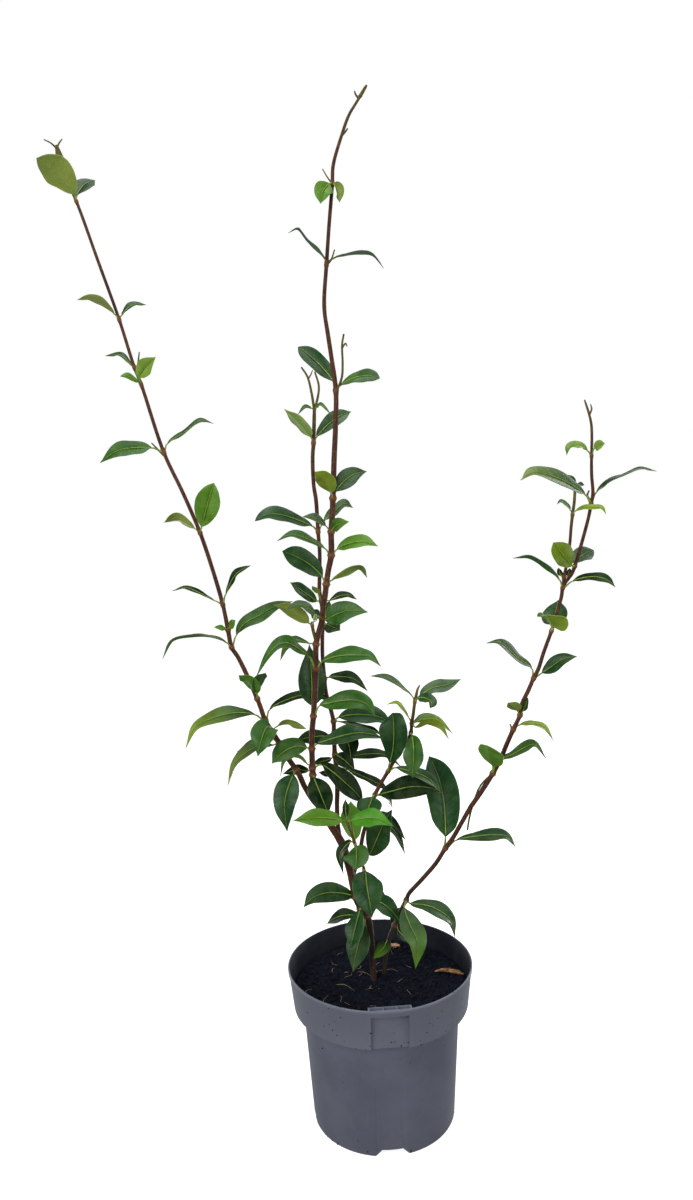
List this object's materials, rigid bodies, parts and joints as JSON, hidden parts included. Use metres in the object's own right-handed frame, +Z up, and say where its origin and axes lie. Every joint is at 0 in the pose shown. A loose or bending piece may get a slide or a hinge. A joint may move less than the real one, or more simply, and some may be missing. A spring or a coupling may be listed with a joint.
{
  "type": "potted climbing plant",
  "caption": "Young star jasmine in a round nursery pot: thin canes with opposite pairs of glossy leaves rise and spread from dark soil.",
  "frame": {"origin": "middle of the pot's flat base, on the ground", "axes": "+Z up, -Y towards the front seen in the picture, +X to its right"},
  "size_m": [0.4316, 0.14, 0.7474],
  "materials": {
    "pot_plastic": "satin slate grey",
    "soil": "damp, crumbly",
    "bark": "reddish brown, matte",
    "dead_leaf": "dry, curled",
    "bark_chip": "raw wood",
    "leaf_dark": "waxy, softly glossy dark green",
    "leaf_mid": "waxy, softly glossy mid green",
    "leaf_bright": "waxy bright green",
    "leaf_olive_back": "matte olive underside"
  },
  "bodies": {
    "root": {"pot": "pot_plastic", "soil": "soil", "stem": "bark", "right_stem": "bark", "dead_leaf": "dead_leaf", "bark_chip": "bark_chip", "left_pair_682": "leaf_olive_back", "left_pair_601": "leaf_olive_back", "left_pair_555": "leaf_bright", "left_pair_507": "leaf_dark", "left_pair_449": "leaf_bright", "left_pair_396": "leaf_dark", "left_pair_364": "leaf_mid", "left_pair_325": "leaf_mid", "left_pair_308": "leaf_dark", "left_group_291": "leaf_mid", "left_leaf_270": "leaf_dark", "left_pair_171": "leaf_dark", "left_group_155": "leaf_dark", "middle_group_266": "leaf_dark", "middle_pair_286": "leaf_mid", "middle_pair_310": "leaf_dark", "middle_pair_346": "leaf_mid", "stub_pair_379": "leaf_olive_back", "middle_pair_383": "leaf_mid", "middle_pair_408": "leaf_dark", "middle_pair_429": "leaf_bright", "middle_pair_446": "leaf_mid", "middle_pair_470": "leaf_olive_back", "middle_pair_546": "leaf_dark", "middle_pair_634": "leaf_mid", "middle_pair_688": "leaf_bright", "inner_pair_510": "leaf_olive_back", "inner_pair_446": "leaf_dark", "inner_pair_396": "leaf_dark", "inner_pair_379": "leaf_dark", "inner_group_297": "leaf_dark", "inner_group_281": "leaf_dark", "inner_pair_270": "leaf_dark", "front_pair_229": "leaf_bright", "front_group_212": "leaf_bright", "front_leaf_191": "leaf_mid", "short_leaf_203": "leaf_dark", "short_pair_232": "leaf_dark", "short_group_249": "leaf_dark", "short_pair_267": "leaf_dark", "short_group_295": "leaf_mid", "short_group_318": "leaf_dark", "right_group_166": "leaf_dark", "right_pair_206": "leaf_dark", "right_pair_262": "leaf_mid", "right_pair_333": "leaf_dark", "right_pair_368": "leaf_dark", "right_pair_401": "leaf_mid", "right_pair_415": "leaf_mid", "twig_pair_452": "leaf_mid", "right_pair_460": "leaf_dark", "right_pair_494": "leaf_bright"}
  },
  "joints": []
}
